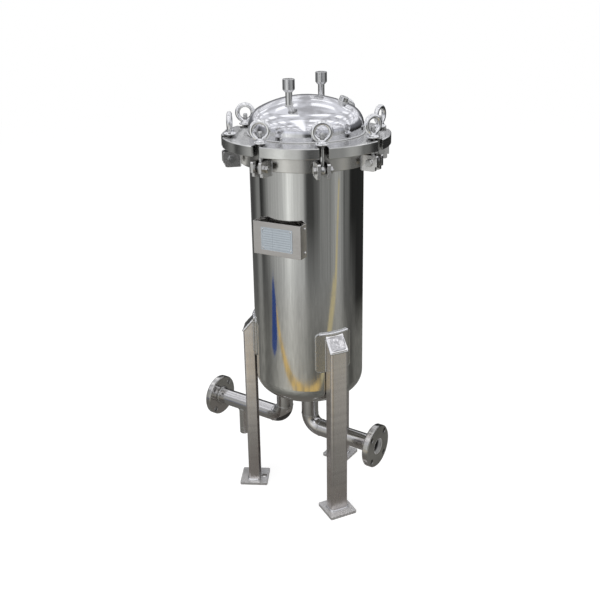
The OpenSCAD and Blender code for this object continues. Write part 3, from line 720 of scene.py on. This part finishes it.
def skin_points(leg):
    """The upper and then the lower face of the skin on one cap, for a leg along +X."""
    outer = Vector((LEG_OUT - 0.0004, 0, TOP_OUT + SKIN_LIFT))
    inward = Vector((PAD_R + 0.0006, 0, TOP_IN + SKIN_LIFT)) - outer
    up = Vector((-inward.z, 0, inward.x)).normalized() * -1
    points = []
    for top in (True, False):
        for p in np.linspace(-1, 1, SKIN_POINTS):
            for q in np.linspace(-1, 1, SKIN_POINTS):
                height = skin_height(p, q, leg) if top else SKIN_UNDER
                across = Vector((0, p * (LEG_HALF - 0.0005), 0))
                points.append(outer + inward * (q + 1) / 2 + across + up * height)
    return points


def skin_faces(start):
    """Both faces of a skin and the rim between them, from the number of its first point."""
    n = SKIN_POINTS
    faces = []
    for half in (0, n * n):
        for row in range(n - 1):
            for column in range(n - 1):
                i = start + half + row * n + column
                quad = (i, i + n, i + n + 1, i + 1)
                faces.append(quad if half else quad[::-1])
    rim = [row * n for row in range(n)] + [n * (n - 1) + column for column in range(1, n)]
    rim += [row * n + n - 1 for row in range(n - 2, -1, -1)] + list(range(n - 2, 0, -1))
    for a, b in zip(rim, rim[1:] + rim[:1]):
        faces.append((start + a, start + b, start + n * n + b, start + n * n + a))
    return faces


def cap_skins():
    """The welded leg caps, ground by hand: a slightly swollen skin over each flat cap."""
    points, faces = [], []
    for leg, azimuth in enumerate(LEG_AZ):
        faces += skin_faces(len(points))
        points += turned(azimuth, skin_points(leg))
    housing_piece("leg_cap_skins", points, faces, MATERIALS["cap_steel"])


weld_vessel()
weld_lines()
weld_fittings()
weld_legs()
cap_skins()
weld_lugs()

# Threads: radius at root and crest, pitch, faded ends in turns, and points round. Then rows to a turn,
# how deep the threads of the lid run, how far they stay below the rim, and the bolt's chamfered tip
BOLT_THREAD = dict(root=0.00505, crest=0.00595, pitch=0.00175, fade=2.0, sides=48)
SOCKET_THREAD = dict(root=0.00932, crest=0.00860, pitch=0.00181, fade=0.6, sides=48)
BOSS_THREAD = dict(root=0.00572, crest=0.00515, pitch=0.00134, fade=0.6, sides=32)
TURN_ROWS = 8
SOCKET_DEPTH, BOSS_DEPTH = 0.021, 0.013
SOCKET_LIP, BOSS_LIP = 0.0012, 0.0008
TIP_CHAMFER, TIP_SHARE = 0.0006, 0.86
THREAD_OVERLAP = 0.0015


def thread(low, high, root, crest, pitch, fade, sides):
    """Threaded surface about the Z axis: outside where the crest is larger than the root, else inside.
    Each tooth has a flat crest, slanting flanks and a flat root."""
    rows = int((high - low) / pitch * TURN_ROWS)
    points = []
    for z in np.linspace(low, high, rows + 1):
        ends = min((z - low) / (pitch * fade), (high - z) / (pitch * fade), 1.0)
        for turn in np.arange(sides) / sides:
            phase = ((z - low) / pitch - turn) % 1.0
            tooth = min(1.0, max(0.0, 1.5 - abs(phase - 0.5) * 4)) * max(ends, 0.0)
            radius = root + (crest - root) * tooth
            points.append((radius * math.cos(2 * math.pi * turn), radius * math.sin(2 * math.pi * turn), z))
    faces = tube_faces(rows + 1, sides)
    return points, faces if crest > root else [quad[::-1] for quad in faces]


def bolt_mesh():
    """The solid bolt below its thread, and a cut thread with a small chamfer above."""
    bm = bmesh.new()
    bm.from_mesh(nodes["swing_bolt_1"].data)
    bmesh.ops.transform(bm, matrix=Matrix.Translation((-BOLT_R, 0, -PIN_Z)), verts=bm.verts)
    bmesh.ops.bisect_plane(bm, geom=bm.verts[:] + bm.edges[:] + bm.faces[:],
                           plane_co=(0, 0, THREAD_Z + THREAD_OVERLAP), plane_no=(0, 0, 1), clear_outer=True)
    points, faces = thread(THREAD_Z, TIP_Z - TIP_CHAMFER, **BOLT_THREAD)
    verts = [bm.verts.new(p) for p in points]
    for face in faces:
        bm.faces.new([verts[k] for k in face]).smooth = True
    sides = BOLT_THREAD["sides"]
    rim = verts[-sides:]
    tip = [bm.verts.new((v.co.x * TIP_SHARE, v.co.y * TIP_SHARE, TIP_Z)) for v in rim]
    for k in range(sides):
        m = (k + 1) % sides
        bm.faces.new((rim[k], rim[m], tip[m], tip[k])).smooth = True
    bm.faces.new(tip)
    mesh = bpy.data.meshes.new("bolt_forged")
    bm.to_mesh(mesh)
    bm.free()
    mesh.materials.clear()
    mesh.materials.append(MATERIALS["bolt_steel"])
    return mesh


def nut_mesh():
    """The eye nut as a forging: the solid nut with its corners run together."""
    bm = bmesh.new()
    bm.from_mesh(nodes["eye_nut_1"].data)
    move = Matrix.Rotation(math.radians(-SPIN[0]), 4, "Z") @ Matrix.Translation((-BOLT_R, 0, -NUT_Z))
    bmesh.ops.transform(bm, matrix=move, verts=bm.verts)
    raw = bpy.data.meshes.new("nut_raw")
    bm.to_mesh(raw)
    bm.free()
    obj = bpy.data.objects.new("nut_raw", raw)
    scene.collection.objects.link(obj)
    remesh = obj.modifiers.new("remesh", "REMESH")
    remesh.mode = "VOXEL"
    remesh.voxel_size = 0.0008
    soft = obj.modifiers.new("soft", "SMOOTH")
    soft.factor = 0.5
    soft.iterations = 6
    bpy.context.view_layer.update()
    mesh = bpy.data.meshes.new_from_object(obj.evaluated_get(bpy.context.evaluated_depsgraph_get()))
    bpy.data.objects.remove(obj)
    mesh.materials.clear()
    mesh.materials.append(MATERIALS["nut_steel"])
    mesh.polygons.foreach_set("use_smooth", [True] * len(mesh.polygons))
    return mesh


def dress_bolts():
    """A threaded bolt and a forged nut in the place of each swing bolt and each eye nut."""
    bolt_form, nut_form = bolt_mesh(), nut_mesh()
    for i in range(BOLTS):
        azimuth = Matrix.Rotation(math.radians(360 / BOLTS * i), 4, "Z")
        bolt = bpy.data.objects.new(f"bolt_thread_{i + 1}", bolt_form)
        scene.collection.objects.link(bolt)
        bolt.matrix_world = azimuth @ Matrix.Translation((BOLT_R, 0, PIN_Z))
        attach(bolt, f"bolt_{i + 1}")
        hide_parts(f"swing_bolt_{i + 1}")
        nut = bpy.data.objects.new(f"nut_forged_{i + 1}", nut_form)
        scene.collection.objects.link(nut)
        spin = Matrix.Rotation(math.radians(SPIN[i]), 4, "Z")
        nut.matrix_world = azimuth @ Matrix.Translation((BOLT_R, 0, NUT_Z)) @ spin
        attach(nut, f"nut_{i + 1}")
        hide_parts(f"eye_nut_{i + 1}")


def lid_threads():
    """The threads inside the two sockets and the boss."""
    for i, (x, y) in enumerate(STEMS):
        points, faces = thread(SOCKET_HI - SOCKET_DEPTH, SOCKET_HI - SOCKET_LIP, **SOCKET_THREAD)
        housing_piece(f"socket_thread_{i + 1}", [(a + x, b + y, c) for a, b, c in points], faces,
                      MATERIALS["fitting_steel"])
    points, faces = thread(-BOSS_DEPTH, -BOSS_LIP, **BOSS_THREAD)
    lean = Vector((0, 0, 1)).rotation_difference(BOSS).to_matrix().to_4x4()
    place = Matrix.Translation(Vector((0, 0, DOME_C)) + BOSS * BOSS_FACE) @ lean
    housing_piece("boss_thread", [place @ Vector(p) for p in points], faces,
                  MATERIALS["fitting_steel"])


dress_bolts()
lid_threads()

# Camera, solved from the photograph: the photographer's azimuth, then place and angles before that turn
VIEW_AZ = 34.0
CAMERA_AT = (-0.000259, -2.175774, 1.441402)
CAMERA_TILT, CAMERA_YAW, CAMERA_ROLL = 18.7311, -0.5551, -0.987
CAMERA_LENS = 50.631
CAMERA_SHIFT = -0.0733


def camera_matrix():
    tilt, yaw, roll = (math.radians(a) for a in (CAMERA_TILT, CAMERA_YAW, CAMERA_ROLL))
    ahead = Vector((math.sin(yaw) * math.cos(tilt), math.cos(yaw) * math.cos(tilt), -math.sin(tilt)))
    level = Vector((math.cos(yaw), -math.sin(yaw), 0))
    upright = level.cross(ahead)
    right = level * math.cos(roll) + upright * math.sin(roll)
    up = upright * math.cos(roll) - level * math.sin(roll)
    matrix = Matrix((right, up, -ahead)).transposed().to_4x4()
    matrix.translation = Vector(CAMERA_AT)
    return Matrix.Rotation(math.radians(VIEW_AZ), 4, "Z") @ matrix


def build_camera():
    lens = bpy.data.cameras.new("camera")
    lens.sensor_width = 36.0
    lens.lens = CAMERA_LENS
    lens.shift_y = CAMERA_SHIFT
    lens.clip_end = 200.0
    camera = bpy.data.objects.new("camera", lens)
    scene.collection.objects.link(camera)
    camera.matrix_world = camera_matrix()
    scene.camera = camera


def photo_point(x, y, z=0.0):
    """A point given as the photographer sees it: x to the right, y away, about the vessel."""
    return Matrix.Rotation(math.radians(VIEW_AZ), 4, "Z") @ Vector((x, y, z))


# Roof of the workshop, by the slope of the line of sight: wave and phase of the lamp rows and of the
# gaps in them, and the bright gate on the photographer's side. LOW_SKY keeps that slope finite.
LOW_SKY = 0.05
ROW_WAVE, ROW_PHASE = 8.6, -1.43
GAP_WAVE, GAP_PHASE = 11.9, -1.40
GATE_AT = -0.22
ROOF_DARK, ROOF_PALE = (0.46, 0.46, 0.48), (0.86, 0.87, 0.92)
ROOF_LAMPS = (1.45, 1.46, 1.50)
HORIZON = (0.34, 0.34, 0.36)
WHITE = (1.0, 1.0, 1.0)
HALL_LIGHT = (0.60, 0.60, 0.60)


def roof_lights(s, direction):
    """One on the rows of ceiling lamps and in the bright gate on the photographer's side."""
    x, y, z = s.split(direction)
    turn = math.radians(VIEW_AZ)
    across = s.add(s.times(x, math.cos(turn)), s.times(y, math.sin(turn)))
    away = s.add(s.times(x, -math.sin(turn)), s.times(y, math.cos(turn)))
    height = s.math("MAXIMUM", z, LOW_SKY)
    u, v = s.math("DIVIDE", across, height), s.math("DIVIDE", away, height)
    rows = s.span(s.math("SINE", s.math("MULTIPLY_ADD", v, ROW_WAVE, ROW_PHASE)), 0.10, 0.70, smooth=True)
    gaps = s.span(s.math("SINE", s.math("MULTIPLY_ADD", u, GAP_WAVE, GAP_PHASE)), -0.6, -0.3, smooth=True)
    gate = s.times(s.span(s.absolute(s.minus(u, GATE_AT)), 0.10, 0.24, 1.0, 0.0, smooth=True),
                   s.span(v, -0.35, -0.15, 1.0, 0.0, smooth=True))
    return s.math("MAXIMUM", s.times(rows, gaps), gate)


def build_world():
    """White to the camera, a workshop roof in the metal, and an even grey as light."""
    world = bpy.data.worlds.new("hall")
    scene.world = world
    world.use_nodes = True
    s = Shader("hall", world.node_tree)
    direction = s.node("TexCoord").outputs["Generated"]
    height = s.split(direction)[2]
    cloud = s.noise(direction, scale=4.5, detail=3.0, rough=0.6, warp=0.6)
    roof = s.mix(s.span(cloud, 0.38, 0.62), ROOF_DARK, ROOF_PALE)
    roof = s.mix(s.times(roof_lights(s, direction), 0.85), roof, ROOF_LAMPS)
    sky = s.mix(s.span(height, 0.12, 0.25, smooth=True), HORIZON, roof)
    view = s.mix(s.node("LightPath").outputs["Is Camera Ray"], sky, WHITE)
    lit, shown = s.plain("Background", HALL_LIGHT), s.plain("Background", view)
    s.output(s.mix_shaders(s.seen(), lit, shown), "OutputWorld")


# Floor: the grey that light meets, then the dim grey with a glow that is seen in its place
FLOOR_GREY = (0.80, 0.80, 0.80)
FLOOR_DIM = (0.26, 0.26, 0.26)
FLOOR_GLOW = 0.84


def floor_material():
    """White floor that keeps the shadow of the object."""
    s = Shader("floor_white")
    shown = s.add_shaders(s.plain("BsdfDiffuse", FLOOR_DIM), s.plain("Emission", WHITE, FLOOR_GLOW))
    s.output(s.mix_shaders(s.seen(), s.plain("BsdfDiffuse", FLOOR_GREY), shown))
    return s.material


def mark_material(name, colour, wear=0.2):
    """A flat glowing colour on the floor, slightly worn: painted markings, and the painted shade under the
    vessel.
    """
    s = Shader(name)
    worn = s.span(s.noise(s.place(), scale=7.0, detail=4.0), 0.44, 0.62, 0.0, wear)
    s.output(s.plain("Emission", s.mix(worn, colour, (0.20, 0.19, 0.16))))
    return s.material


def room_material():
    """The workshop as the metal mirrors it: shades of the mesh, faint upright streaks, a soft top."""
    s = Shader("room")
    place = s.place()
    shade = s.node("Attribute", attribute_name="shade").outputs["Color"]
    streak = s.noise(s.stretch(place, (11.0, 11.0, 0.9)), detail=4.0, rough=0.65)
    tone = s.mix(s.span(streak, 0.35, 0.65, 0.0, 0.34), shade, (0.0, 0.0, 0.0))
    top = s.span(s.split(place)[2], WALL_H - 0.35, WALL_H, smooth=True)
    s.output(s.mix_shaders(top, s.plain("Emission", tone), s.node("BsdfTransparent").outputs[0]))
    return s.material


def only_mirrored(obj):
    """Hides a stage piece from everything but glossy rays."""
    for kind in ("camera", "diffuse", "shadow", "transmission", "volume_scatter"):
        setattr(obj, "visible_" + kind, False)


def strip(name, line, colour, wear):
    """A marking that shows only in the metal. line holds x, y, z and half width of each point."""
    points = []
    for x, y, z, half in line:
        points += [(*photo_point(x, y - half).xy, z), (*photo_point(x, y + half).xy, z)]
    faces = [(i, i + 2, i + 3, i + 1) for i in range(0, len(points) - 2, 2)]
    only_mirrored(make_object(name, points, faces, mark_material(name, colour, wear)))


# The workshop by the angle at which the photographer finds it, 0 being behind the camera.
# Each bay is dim at its first angle, at full brightness between its second and third, and
# dim again at its fourth. Its last value is the brightness that the metal shows there.
WALL_DIM = 0.15
WALL_BAYS = [
    (-180, -160, -155, -125, 0.30),
    (-140, -116, -108, -103, 0.45),
    (-102, -100, 16, 24, 0.23),
    (-98, -78, -6.5, 0, 0.58),
    (-68, -44, -12, -6, 0.71),
    (-50, -37, -35, -20, 0.84),
    (10, 27, 74, 79, 0.46),
    (46, 57, 65, 73, 0.57),
    (76, 79, 88, 95, 0.375),
]
FAR_FLOOR_DIM = 0.16
FAR_FLOOR_BAYS = [
    (-200, -180, 98, 118, 0.33),
    (-128, -116, -108, -102, 0.47),
    (-90, -66, 70, 80, 0.455),
    (-80, -52, -10, 3, 0.60),
    (-52, -37, -35, -20, 0.71),
    (42, 56, 62, 76, 0.55),
]
NEAR_FLOOR_DIM = 0.38
NEAR_FLOOR_BAYS = [
    (-126, -112, -105, -99, 0.46),
    (-88, -62, -10, 8, 0.56),
    (-64, -44, -30, -14, 0.66),
    (30, 46, 74, 86, 0.51),
    (84, 90, 95, 104, 0.29),
]
ROOM_R, WALL_H = 2.0, 1.55
ROOM_LIFT = 0.001
SCREEN_GAMMA = 2.2
METAL_SHARE = 0.56
# The next value is painted shade: the dim glow of the floor rings closest to the vessel's foot, in place of
# the shadow there.
FOOT_SHADE = 0.20
WARM = np.array((0.985, 0.975, 0.915))
COOL = np.array((0.99, 1.0, 0.99))
HAZE = np.array((0.96, 0.98, 1.06))


def bay_levels(dim, bays, angles):
    """How strongly the room glows at each angle, so that the metal shows the brightness of its bays."""
    shown = np.full(len(angles), dim)
    for start, full, ebb, end, brightness in bays:
        rise = np.clip((angles - start) / (full - start), 0, 1)
        fall = np.clip((end - angles) / (end - ebb), 0, 1)
        shown = shown + (brightness - shown) * rise * fall
    return shown ** SCREEN_GAMMA / METAL_SHARE


def room_rows(angles):
    """The room from the vessel's foot outwards and up its wall: radius, height, glow and tint."""
    wall = bay_levels(WALL_DIM, WALL_BAYS, angles)
    far = bay_levels(FAR_FLOOR_DIM, FAR_FLOOR_BAYS, angles)
    near = bay_levels(NEAR_FLOOR_DIM, NEAR_FLOOR_BAYS, angles)
    foot_shade = np.full(len(angles), FOOT_SHADE)
    front = np.clip(1.6 - np.abs(angles) / 60.0, 0.0, 1.0)
    upper = 0.5 * wall + 0.15 + 0.40 * front
    return [
        # The two rings by the foot carry the painted shade.
        (0.30, 0.0, foot_shade, WARM),
        (0.55, 0.0, 0.6 * foot_shade + 0.4 * near, WARM),
        (0.80, 0.0, near, WARM),
        (1.15, 0.0, near, WARM),
        (1.60, 0.0, far, WARM ** 0.5),
        (ROOM_R, 0.0, 0.7 * far + 0.3 * wall, COOL),
        (ROOM_R, 0.14, 0.4 * far + 0.6 * wall, COOL),
        (ROOM_R, 0.30, wall, COOL),
        (ROOM_R, 0.85, wall, COOL),
        (ROOM_R, 1.10, upper, HAZE),
        (ROOM_R, WALL_H, upper, HAZE),
    ]


def build_room():
    """One open-topped room about the vessel that only glossy rays see."""
    angles = np.arange(-180, 181)
    count = len(angles)
    points, colours, faces = [], [], []
    for i, (radius, z, glow, tint) in enumerate(room_rows(angles)):
        for k, angle in enumerate(np.radians(angles)):
            points.append(photo_point(radius * math.sin(angle), -radius * math.cos(angle), z + ROOM_LIFT))
            colours += [*(glow[k] * tint), 1.0]
            if i and k:
                n = i * count + k
                faces.append((n - 1 - count, n - count, n, n - 1))
    room = make_object("room", points, faces, room_material())
    shade = room.data.color_attributes.new("shade", "FLOAT_COLOR", "POINT")
    shade.data.foreach_set("color", np.array(colours, dtype=np.float32))
    only_mirrored(room)


def disc(name, radius, z, material):
    points = [(radius * math.cos(t), radius * math.sin(t), z) for t in full_turn(96)]
    return make_object(name, points, [tuple(range(len(points)))], material)


def build_floor():
    """The floor, the room about it, and the dark patch of painted shade under the vessel that only the metal
    mirrors.
    """
    floor = disc("floor", radius=7.0, z=-0.0003, material=floor_material())
    build_room()
    # Painted shade: a dark disc standing in for the shaded floor under the vessel, seen only in the metal.
    dim = mark_material("floor_shade_under_vessel", (0.17, 0.16, 0.15))
    only_mirrored(disc("floor_shade_under_vessel", radius=0.302, z=0.0006, material=dim))


def build_markings():
    """Two yellow lines and a blue mat on the workshop floor."""
    strip("floor_line_left", colour=(0.80, 0.56, 0.21), wear=0.6, line=[
        (-1.75, -0.55, 0.002, 0.03), (-1.31, -0.60, 0.002, 0.05), (-0.77, -0.71, 0.002, 0.06),
        (-0.23, -0.83, 0.002, 0.055), (0.36, -0.86, 0.002, 0.04)])
    strip("floor_line_right", colour=(0.60, 0.52, 0.31), wear=0.15, line=[
        (0.36, -0.86, 0.002, 0.04), (0.95, -1.04, 0.002, 0.10), (1.63, -1.15, 0.002, 0.15),
        (1.79, -0.88, 0.50, 0.075)])
    strip("floor_mat", colour=(0.035, 0.075, 0.27), wear=0.1, line=[
        (-1.05, -0.34, 0.003, 0.06), (-1.15, -0.35, 0.003, 0.15), (-1.55, -0.47, 0.003, 0.15),
        (-1.90, -0.50, 0.003, 0.06)])


def lamp(name, at, aim, size, power):
    """A square soft lamp that the metal doesn't mirror, placed as the photographer sees it."""
    data = bpy.data.lights.new(name, "AREA")
    data.shape = "SQUARE"
    data.size = size
    data.energy = power
    obj = bpy.data.objects.new(name, data)
    scene.collection.objects.link(obj)
    obj.location = photo_point(*at)
    obj.rotation_euler = (Vector(aim) - obj.location).to_track_quat("-Z", "Y").to_euler()
    obj.visible_glossy = False


build_camera()
build_world()
build_floor()
build_markings()
lamp("key", at=(-1.5, -1.5, 2.7), aim=(0, 0, 0.6), size=1.7, power=34.0)
lamp("fill", at=(2.2, -1.0, 2.0), aim=(0, 0, 0.6), size=1.4, power=11.0)
lamp("top", at=(0.2, 0.5, 3.3), aim=(0, 0, 0.9), size=2.0, power=22.0)
